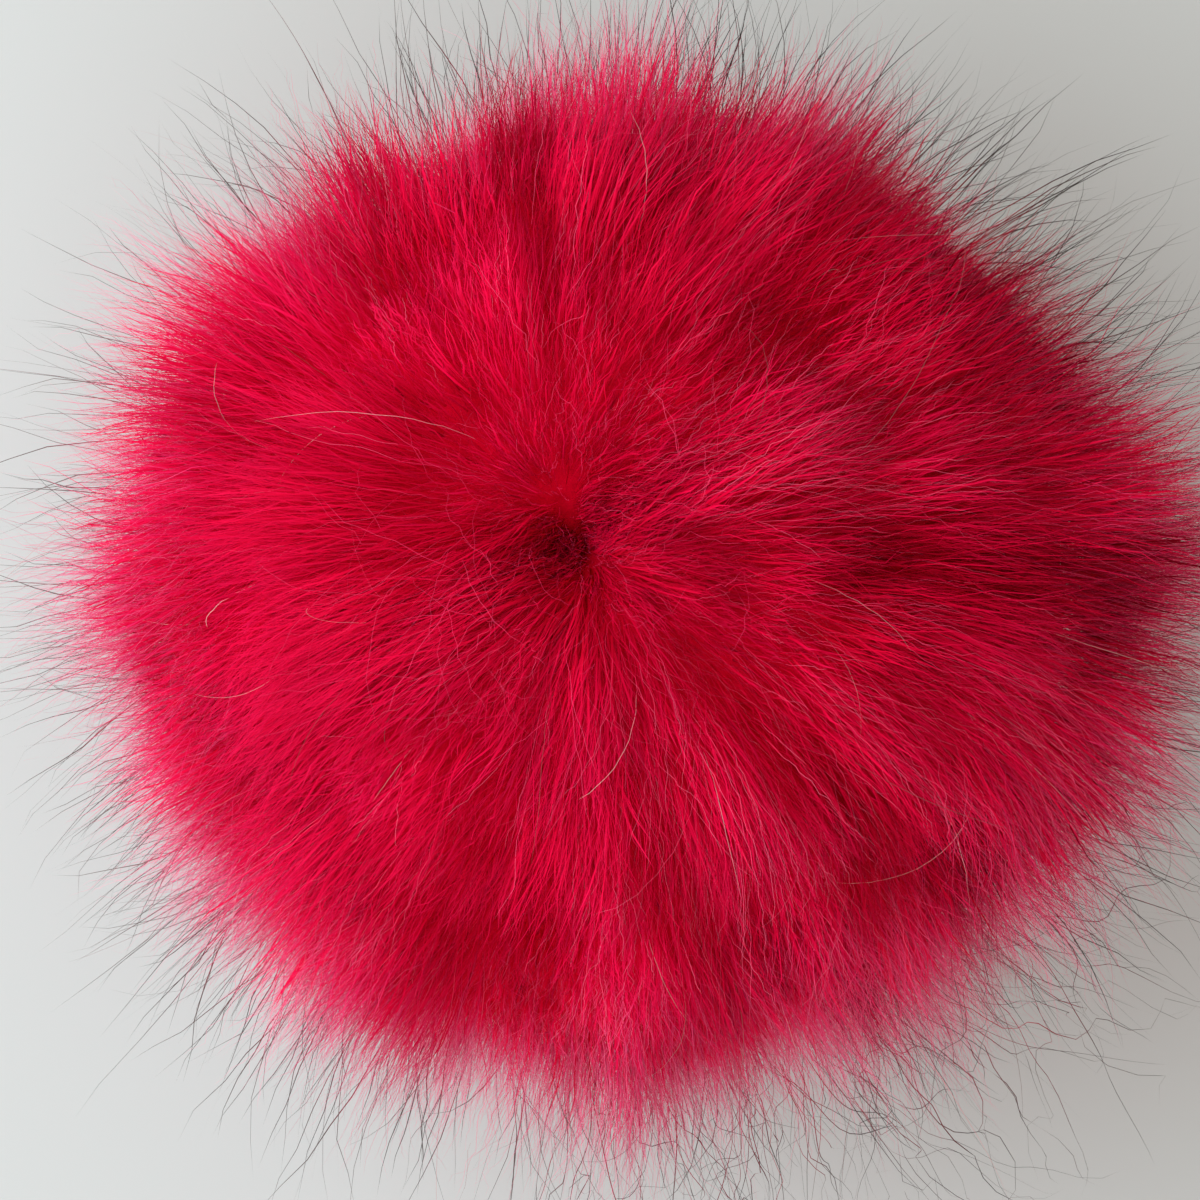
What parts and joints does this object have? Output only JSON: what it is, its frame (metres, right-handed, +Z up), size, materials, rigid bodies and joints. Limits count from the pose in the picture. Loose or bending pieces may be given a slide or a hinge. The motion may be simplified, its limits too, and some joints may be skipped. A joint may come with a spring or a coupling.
{
  "type": "fur pom pom",
  "caption": "Round long-haired dyed fur pom pom, combed out from a parted crown, for trimming hats, bags and cushions.",
  "frame": {"origin": "on the floor, under the middle of the part's box", "axes": "+Z up out of the crown, +X and +Y level, with the crown's parting towards -X and +Y from the middle"},
  "size_m": [0.1536, 0.1522, 0.0952],
  "materials": {
    "fur": "long dyed fur, raspberry red with a pink sheen, thin dark brown tips on the guard hairs"
  },
  "bodies": {
    "root": {"fur_pom_pom": "fur"}
  },
  "joints": []
}
